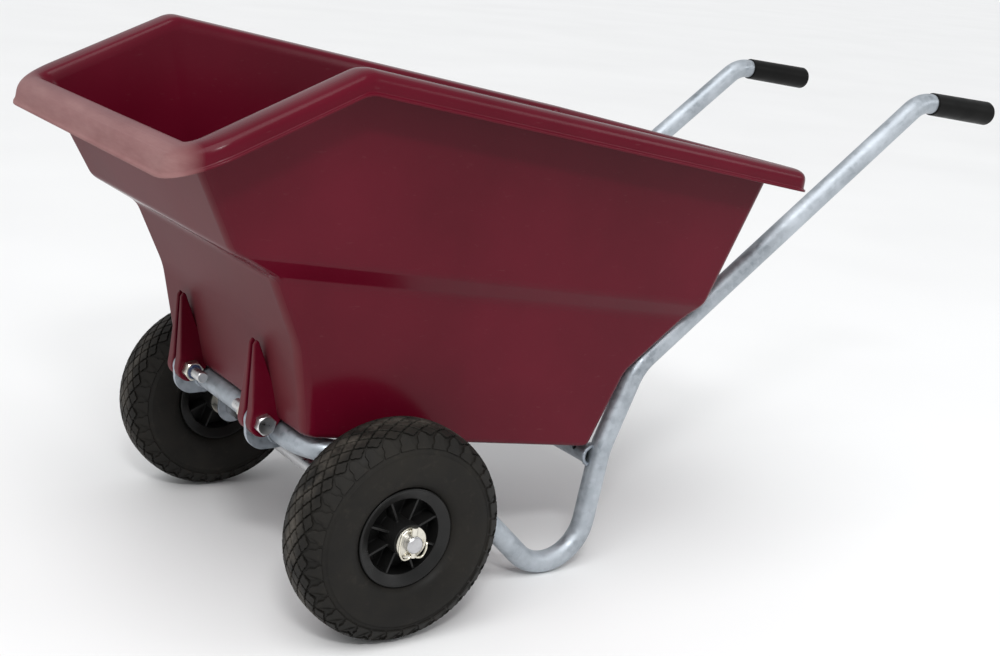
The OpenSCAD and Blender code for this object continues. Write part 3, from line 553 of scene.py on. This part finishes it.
def loft(rings):
    """Quads between rings, closed at both ends with one face."""
    count = len(rings[0])
    verts = [from_tub(p) for ring in rings for p in ring]
    faces = []
    for k in range(len(rings) - 1):
        low, high = k * count, (k + 1) * count
        for i in range(count):
            j = (i + 1) % count
            faces.append((low + i, low + j, high + j, high + i))
    for k in (0, len(rings) - 1):
        faces.append(tuple(k * count + i for i in range(count)))
    return verts, faces


FIN_T, FIN_TIP_T = 15.0, 4.0
FIN_TOP = 96.0
SLOT_Y = (105.5, 112.5)  # faces of the slot between the two fins of a pair
FOOT_R = 17.0
FOOT_STEPS = 14


def fin_outline():
    """Side view of a lug fin, from the rounded foot up the front to the tip."""
    lean = LOWER_RUN / LOWER_RISE
    tip = FLOOR_F + (FIN_TOP - FLOOR_V) * lean
    points = []
    for i in range(FOOT_STEPS + 1):
        a = math.radians(-150 + 155 * i / FOOT_STEPS)
        points.append((FOOT_R * math.cos(a), FOOT_R * math.sin(a)))
    points.append((FOOT_R + 0.2, 14.0))
    points.append((tip + 1.6, FIN_TOP - 6))
    points.append((tip - 1.0, FIN_TOP))
    points.append((tip - 5.0, FIN_TOP - 2))
    points.append((FLOOR_F - 3.0, FLOOR_V + 12))
    points.append((FLOOR_F - 8.0, FLOOR_V + 4))
    points.append((FLOOR_F - 6.0, FLOOR_V + 0.6))
    return points


def fin(y, out):
    """A fin with one upright face at y, which thins to its tip on the side named by out."""
    shape = fin_outline()
    count = len(shape)
    verts = [from_tub(Vector((f, y, v))) for f, v in shape]
    for f, v in shape:
        rise = min(max((v - FOOT_R) / (FIN_TOP - FOOT_R), 0.0), 1.0)
        thick = FIN_T + (FIN_TIP_T - FIN_T) * rise
        verts.append(from_tub(Vector((f, y + out * thick, v))))
    faces = [tuple(range(count)), tuple(range(2 * count - 1, count - 1, -1))]
    for i in range(count):
        j = (i + 1) % count
        faces.append((i, i + count, j + count, j))
    return verts, faces


def make_tub():
    control = tub_rings()
    rings = rounded([r for r, _ in control], [n for _, n in control])
    tub = add_mesh("tub_shell", *loft(rings), TUB, "tub", "tub_plastic")
    fix_normals(tub)
    tub.modifiers.new("shading", "WEIGHTED_NORMAL").keep_sharp = False
    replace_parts(tub, "tub")
    parts = []
    for side in (-1, 1):
        for y, out in zip(SLOT_Y, (-1, 1)):
            parts.append(fin(side * y, side * out))
    lugs = add_mesh("tub_lug_fins", *join_parts(parts), TUB, "tub", "tub_plastic")
    fix_normals(lugs)
    soften(lugs, 0.0024, 3, 35)


# ---------- frame tube ----------
KNEE_Z, KNEE_LEAN_DEG = 160.0, 22.4  # where the leg turns further back, and its lean there
ELBOW_Z, ELBOW_SLOPE_DEG = 266.6, 36.8  # where it turns into the handle
BEND_Z = 611.3  # where the handle turns level
GRIP_RUN, GRIP_FALL_DEG = 140.5, 6.2
TUBE_BENDS = [55, 80, SKID_R, 110, 75, 52]  # radii, from the front corner to the grip
FRONT_LEG_DEG = 45
STRAIGHT_STEP = 0.04  # longest ring to ring distance along a straight
WAVER, WAVER_SCALE = 0.10, 14  # unevenness of the drawn tube, and how fast it changes


def tan_deg(angle):
    return math.tan(math.radians(angle))


def line_meet(p, slope_p, q, slope_q):
    """Where two sloped lines of the side plane cross."""
    x = (q[1] - p[1] + slope_p * p[0] - slope_q * q[0]) / (slope_p - slope_q)
    return x, p[1] + slope_p * (x - p[0])


def side_corners():
    """Corners of a side run, from the front cross run to the grip end: (ahead, height)."""
    drop = math.radians(FRONT_LEG_DEG)
    lean = math.radians(LEG_LEAN_DEG)
    fall = math.radians(GRIP_FALL_DEG)
    drop_t = (-SKID_BACK + SKID_R * math.sin(drop), SKID_Z - SKID_R * math.cos(drop))
    leg_t = (-SKID_BACK - SKID_R * math.cos(lean), SKID_Z - SKID_R * math.sin(lean))
    front = (FRONT_AHEAD, FRONT_Z)
    start = line_meet(front, tan_deg(RAIL_SLOPE_DEG), drop_t, tan_deg(FRONT_LEG_DEG))
    skid = line_meet(drop_t, tan_deg(FRONT_LEG_DEG), leg_t, -1 / tan_deg(LEG_LEAN_DEG))
    knee = (leg_t[0] - (KNEE_Z - leg_t[1]) * tan_deg(LEG_LEAN_DEG), KNEE_Z)
    elbow = (knee[0] - (ELBOW_Z - KNEE_Z) * tan_deg(KNEE_LEAN_DEG), ELBOW_Z)
    bend = (elbow[0] - (BEND_Z - ELBOW_Z) / tan_deg(ELBOW_SLOPE_DEG), BEND_Z)
    end = (bend[0] - GRIP_RUN * math.cos(fall), bend[1] - GRIP_RUN * math.sin(fall))
    return [front, start, skid, knee, elbow, bend, end]


def make_frame_tube():
    left = [mm(x, RAIL_Y, z) for x, z in side_corners()]
    right = [Vector((p.x, -p.y, p.z)) for p in left]
    points = right[::-1] + left
    bends = [r / 1000 for r in TUBE_BENDS[::-1] + TUBE_BENDS]
    line = fillet_path(points, bends, 3.0)
    # Long straights get extra points, so that the sweep's rings stay near square.
    fine = [line[0]]
    for a, b in zip(line, line[1:]):
        parts = max(1, round((b - a).length / STRAIGHT_STEP))
        fine += [a.lerp(b, (k + 1) / parts) for k in range(parts)]

    def radius(i, angle):
        """The tube is very slightly uneven, as drawn and dipped tube is."""
        around = Vector((math.cos(angle), math.sin(angle), 0))
        return (TUBE_R + WAVER * noise.noise(fine[i] * WAVER_SCALE + around)) / 1000

    tube = add_mesh("frame_bent_tube", *sweep(fine, radius, 32), GALV, "frame", "galvanised_tube")
    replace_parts(fix_normals(tube), "frame_tube")


# ---------- weld beads ----------
SADDLE_STEPS, RAIL_STEPS, TAB_STEPS = 72, 18, 39


def bead(line, size, closed, seed):
    """A weld bead with its row of ripples."""

    def radius(i, angle):
        ripple = 0.14 * math.sin(i * 1.9) + 0.22 * noise.noise(Vector((i * 0.5, seed, 0.3)))
        return size * (1 + ripple) / 1000

    return sweep(line, radius, 8, closed)


def bar_end_bead(side):
    """Where the rear bar meets a leg: a saddle round the bar."""
    low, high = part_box("rear_cross_bar")
    centre = (low + high) / 2
    bar_r = (high.x - low.x) / 2
    lean = math.radians(LEG_LEAN_DEG)
    leg_dir = Vector((-math.sin(lean), 0, math.cos(lean)))
    leg_at = mm(-SKID_BACK - SKID_R * math.cos(lean), 0, SKID_Z - SKID_R * math.sin(lean))
    line = []
    for i in range(SADDLE_STEPS):
        a = 2 * math.pi * i / SADDLE_STEPS
        p = Vector((centre.x + bar_r * math.cos(a), 0, centre.z + bar_r * math.sin(a)))
        off = p - leg_at
        gap = (off - leg_dir * off.dot(leg_dir)).length
        reach = math.sqrt(max((TUBE_R / 1000) ** 2 - gap * gap, 1e-6))
        p.y = side * (RAIL_Y / 1000 - reach)
        line.append(p)
    return bead(line, 2.6, True, side)


def bracket_beads(side):
    """Straight runs under the rail, on both faces of an axle bracket."""
    low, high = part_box("axle_bracket_left")
    slope = tan_deg(RAIL_SLOPE_DEG)
    out = []
    for face in (low.y, high.y):
        line = []
        for i in range(RAIL_STEPS + 1):
            x = low.x + (high.x - low.x) * i / RAIL_STEPS
            off = abs(face * 1000 - RAIL_Y)
            rail = FRONT_Z / 1000 + (x - mm(FRONT_AHEAD, 0, 0).x) * slope
            z = rail - math.sqrt(TUBE_R**2 - off * off) / 1000 - 0.0008
            line.append(Vector((x, side * face, z)))
        out.append(bead(line, 2.2, False, face))
    return join_parts(out)


def tab_beads(side):
    """Runs round the front cross tube, on both faces of a tab plate."""
    low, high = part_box("tab_plate_left")
    centre = mm(FRONT_AHEAD, 0, FRONT_Z)
    r = (TUBE_R + 0.6) / 1000
    out = []
    for face in (low.y, high.y):
        line = []
        for i in range(TAB_STEPS + 1):
            a = math.radians(-150 + 215 * i / TAB_STEPS)
            x, z = centre.x + r * math.cos(a), centre.z + r * math.sin(a)
            line.append(Vector((x, side * face, z)))
        out.append(bead(line, 2.0, False, face * 3))
    return join_parts(out)


def make_welds():
    parts = []
    for side in (-1, 1):
        parts += [bar_end_bead(side), bracket_beads(side), tab_beads(side)]
    beads = add_mesh("weld_beads", *join_parts(parts), BEAD, "frame", "galvanised_plate")
    fix_normals(beads)


# ---------- tyres ----------
TYRE_R = 130.0
BLOCKS_ROUND = 34
DIAMOND_ROWS = range(-3, 4)
ROW_PITCH = 8.2  # across the tread, from one row of diamonds to the next
TREAD_DEPTH = 3.0
CASING_STEPS = 128
GROOVED, SHOULDER = 7, 4  # profile points up to here lie in the tread, and from here on its shoulder
SHOULDER_IN = 0.8  # how much further in the casing lies at the shoulder
TREAD_REACH = 52.0  # furthest place on the profile that a block may reach


def tyre_profile():
    """Half section of the tyre from the tread's middle to the rim seat: (radius, across)."""
    return [
        (TYRE_R, 0.0),
        (TYRE_R - 0.3, 9.0),
        (TYRE_R - 1.2, 16.5),
        (TYRE_R - 3.2, 23.5),
        (TYRE_R - 6.6, 29.6),
        (TYRE_R - 11.0, 34.2),
        (TYRE_R - 16.5, 37.6),
        (TYRE_R - 23.0, 39.7),
        (TYRE_R - 26.0, 40.3),
        (TYRE_R - 27.0, 39.8),
        (TYRE_R - 28.0, 40.6),
        (TYRE_R - 38.0, 41.3),
        (TYRE_R - 48.0, 40.8),
        (TYRE_R - 57.0, 39.2),
        (TYRE_R - 63.0, 36.6),
        (TYRE_R - 67.0, 33.6),
        (TYRE_R - 69.6, 29.2),
        (TYRE_R - 70.4, 27.6),
        (TYRE_R - 75.0, 27.0),
    ]


def tread_point(across, lift=0.0):
    """(radius, across) on the tread surface, lifted along its normal."""
    side = 1 if across >= 0 else -1
    shape = tyre_profile()
    want = min(abs(across), TREAD_REACH)
    run = 0.0
    for (r0, y0), (r1, y1) in zip(shape, shape[1:]):
        step = math.hypot(r1 - r0, y1 - y0)
        if run + step >= want:
            t = (want - run) / step
            nr, ny = (y1 - y0) / step, -(r1 - r0) / step
            return r0 + (r1 - r0) * t + nr * lift, side * (y0 + (y1 - y0) * t + ny * lift)
        run += step
    return shape[-1][0], side * shape[-1][1]


def wheel_point(centre, radius, across, angle):
    x = centre.x + radius * math.cos(angle) / 1000
    z = centre.z + radius * math.sin(angle) / 1000
    return Vector((x, centre.y + across / 1000, z))


def block(centre, outline_pts):
    """A raised tread block with a small chamfer: foot in the groove, top on the surface."""
    verts = []
    count = len(outline_pts)
    mid_a = sum(a for a, _ in outline_pts) / count
    mid_s = sum(s for _, s in outline_pts) / count
    for scale, lift in ((1.05, -TREAD_DEPTH - 0.4), (1.0, -0.45), (0.93, 0.0)):
        for a, s in outline_pts:
            r, y = tread_point(mid_s + (s - mid_s) * scale, lift)
            verts.append(wheel_point(centre, r, y, mid_a + (a - mid_a) * scale))
    faces = [tuple(2 * count + i for i in range(count))]
    for low, high in ((0, count), (count, 2 * count)):
        for i in range(count):
            j = (i + 1) % count
            faces.append((low + i, low + j, high + j, high + i))
    return verts, faces


def diamond(centre, angle, across, half_a, half_s):
    """A diamond block, each side with a small step, as the sipes cut it."""
    pts = []
    corners = [(half_a, 0), (0, half_s), (-half_a, 0), (0, -half_s)]
    steps = ((0.10, 1.0), (0.38, 1.0), (0.46, 0.90), (0.56, 0.90), (0.64, 1.0), (0.90, 1.0))
    for (a0, s0), (a1, s1) in zip(corners, corners[1:] + corners[:1]):
        for t, out in steps:
            pts.append((angle + (a0 + (a1 - a0) * t) * out, across + (s0 + (s1 - s0) * t) * out))
    return block(centre, pts)


def shoulder_lug(centre, angle, side, pitch):
    """A lug with a point between two diamonds, and a wedge gap that narrows down the shoulder."""
    half = [(0.06, 27.4), (0.18, 30.4), (0.29, 33.4), (0.30, 40.5), (0.41, 43.5), (0.44, 47.8)]
    pts = [(angle + share * pitch, side * s) for share, s in half]
    pts += [(angle - share * pitch, side * s) for share, s in reversed(half)]
    return block(centre, pts)


def tyre_casing(centre):
    """The tyre without its blocks: the profile turned round the axle, grooved at the tread."""
    half = []
    for k, (r, y) in enumerate(tyre_profile()):
        if k <= GROOVED:
            r -= TREAD_DEPTH
        if SHOULDER <= k <= GROOVED:
            y -= SHOULDER_IN
        half.append((r, y))
    section = [(r, -y) for r, y in reversed(half[1:])] + half
    verts = []
    for i in range(CASING_STEPS):
        a = 2 * math.pi * i / CASING_STEPS
        verts += [wheel_point(centre, r, y, a) for r, y in section]
    rows = len(section)
    faces = []
    for i in range(CASING_STEPS):
        for k in range(rows):
            n, m = (i + 1) % CASING_STEPS, (k + 1) % rows
            faces.append((i * rows + k, n * rows + k, n * rows + m, i * rows + m))
    return verts, faces


def make_tyre(side_name):
    centre = Vector((AXLE.x, middle(f"rim_{side_name}").y, AXLE.z))
    parts = [tyre_casing(centre)]
    pitch = 2 * math.pi / BLOCKS_ROUND
    for row in DIAMOND_ROWS:
        for i in range(BLOCKS_ROUND):
            angle = (i + 0.5 * (row % 2)) * pitch
            across = row * ROW_PITCH
            parts.append(diamond(centre, angle, across, pitch * 0.42, ROW_PITCH * 0.84))
    for i in range(BLOCKS_ROUND):
        for end in (-1, 1):
            parts.append(shoulder_lug(centre, i * pitch, end, pitch))
    shape = join_parts(parts)
    tyre = add_mesh(f"tyre_tread_{side_name}", *shape, RUBBER, f"wheel_{side_name}", "tyre_rubber")
    fix_normals(tyre)
    tyre.modifiers.new("shading", "WEIGHTED_NORMAL").keep_sharp = False
    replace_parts(tyre, f"tyre_{side_name}")


# ---------- locking pin springs ----------
WIRE_R = 1.2
WIRE_BENDS = [5, 6, 9, 12, 5.5, 5, 2.2, 5, 5.5, 9]  # radii round the loop, from the pin head


def make_springs():
    """Wire from each pin head, down both sides, with two lobes that meet in a notch below."""
    low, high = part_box("lock_springs")
    plane = high.y * 1000 - WIRE_R
    half = [
        (0.0, 15.5),
        (8.0, 17.6),
        (15.8, 12.0),
        (17.6, 0.0),
        (17.2, -9.0),
        (12.5, -17.6),
        (5.5, -16.8),
        (0.0, -12.6),
    ]
    rear_half = [(-x, z) for x, z in reversed(half[3:-1])]
    shape = half + rear_half
    parts = []
    for side in (-1, 1):
        points = [Vector((x, side * plane, z)) / 1000 + Vector((AXLE.x, 0, AXLE.z)) for x, z in shape]
        line = fillet_path(points, [r / 1000 for r in WIRE_BENDS], 10.0)
        parts.append(sweep(line, WIRE_R / 1000, 12))
    wire = add_mesh("lock_spring_wires", *join_parts(parts), WIRE, "frame", "spring_wire")
    fix_normals(wire)
    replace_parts(wire, "lock_springs")


# ---------- carried-over pieces ----------
WELD_REACH = 0.00002  # corners of a carried-over mesh that are this near are one corner


def dress(node, material, width=0.0):
    """Gives a carried-over piece its material, and rounds its edges by the given width."""
    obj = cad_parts[node]
    obj.data.materials.clear()
    obj.data.materials.append(material)
    if width:
        weld = obj.modifiers.new("weld", "WELD")
        weld.merge_threshold = WELD_REACH
        soften(obj, width, 2, 35)
    return obj


def dress_all():
    for side in ("left", "right"):
        dress(f"tab_plate_{side}", PLATE, 0.0006)
        dress(f"axle_bracket_{side}", PLATE, 0.0006)
        dress(f"grip_{side}", GRIP)
        dress(f"rim_{side}", RIM, 0.0007)
        dress(f"bushes_{side}", BUSH)
    dress("rear_cross_bar", GALV)
    dress("axle", SHAFT)
    dress("washers_outer", ZINC, 0.0003)
    dress("washers_inner", ZINC, 0.0003)
    dress("lock_pins", ZINC)
    dress("split_pins", ZINC)
    dress("pivot_bolts", BOLT)
    dress("pivot_nuts", ZINC)
    dress("nut_collars", NYLON, 0.0003)


# ---------- stage ----------
FLOOR_HALF = 150.0
FLOOR_DROP = 0.0005  # the floor lies just under the wheels, so that they don't share a face


def pale_floor():
    s = Shader("pale_floor", 0.55)
    shade = s.ramp(s.noise(1.3, 2.0), 0.3, 0.7, 0.0, 1.0)
    base = s.mix(shade, (0.80, 0.80, 0.80), (0.83, 0.83, 0.83))
    h = FLOOR_HALF
    verts = [(-h, -h, 0), (h, -h, 0), (h, h, 0), (-h, h, 0)]
    floor = add_mesh("studio_floor", verts, [(0, 1, 2, 3)], s.finish(base), None, None, False)
    floor.location.z = -FLOOR_DROP


def soft_light(name, at, aim, size, power):
    data = bpy.data.lights.new(name, "AREA")
    data.shape = "RECTANGLE"
    data.size, data.size_y = size
    data.energy = power
    light = bpy.data.objects.new(name, data)
    bpy.context.scene.collection.objects.link(light)
    light.location = at
    light.rotation_euler = (Vector(aim) - Vector(at)).to_track_quat("-Z", "Y").to_euler()


def soft_sun(strength, spread, elevation, heading):
    data = bpy.data.lights.new("sun", "SUN")
    data.energy = strength
    data.angle = math.radians(spread)
    light = bpy.data.objects.new("sun", data)
    bpy.context.scene.collection.objects.link(light)
    e, h = math.radians(elevation), math.radians(heading)
    to_light = Vector((math.cos(e) * math.cos(h), math.cos(e) * math.sin(h), math.sin(e)))
    light.rotation_euler = to_light.to_track_quat("Z", "Y").to_euler()


def make_stage():
    pale_floor()
    world = bpy.data.worlds.new("studio")
    bpy.context.scene.world = world
    world.use_nodes = True
    back = world.node_tree.nodes["Background"]
    back.inputs["Color"].default_value = (0.97, 0.985, 1.0, 1)
    back.inputs["Strength"].default_value = 0.62
    soft_sun(1.9, 50, 62, 40)
    soft_light("key", (1.6, 2.6, 2.6), (0.2, 0, 0.4), (0.55, 0.30), 40)
    soft_light("fill", (-2.6, 2.6, 2.0), (0, 0, 0.3), (1.6, 1.0), 16)
    bpy.context.scene.view_settings.view_transform = "Standard"


CAMERA_AT = mm(836.83, 1637.15, 818.06)
CAMERA_TURN_DEG = (-124.260, -14.366, 5.138)  # heading, pitch and roll
CAMERA_LENS, CAMERA_SENSOR = 54.744, 36
CAMERA_SHIFT = (0.01253, -0.02653)


def make_camera():
    """Front left, a little above, rolled a few degrees."""
    heading, pitch, roll = (math.radians(a) for a in CAMERA_TURN_DEG)
    flat = math.cos(pitch)
    ahead = Vector((math.cos(heading) * flat, math.sin(heading) * flat, math.sin(pitch)))
    level_right = ahead.cross(Vector((0, 0, 1))).normalized()
    level_up = level_right.cross(ahead)
    right = level_right * math.cos(roll) + level_up * math.sin(roll)
    up = right.cross(ahead)
    turn = Matrix((right, up, -ahead)).transposed()
    data = bpy.data.cameras.new("camera")
    data.sensor_width = CAMERA_SENSOR
    data.lens = CAMERA_LENS
    data.shift_x, data.shift_y = CAMERA_SHIFT
    data.clip_end = 100
    camera = bpy.data.objects.new("camera", data)
    camera.matrix_world = Matrix.Translation(CAMERA_AT) @ turn.to_4x4()
    bpy.context.scene.collection.objects.link(camera)
    bpy.context.scene.camera = camera


make_camera()
dress_all()
make_tub()
make_frame_tube()
make_welds()
make_tyre("left")
make_tyre("right")
make_springs()
make_stage()
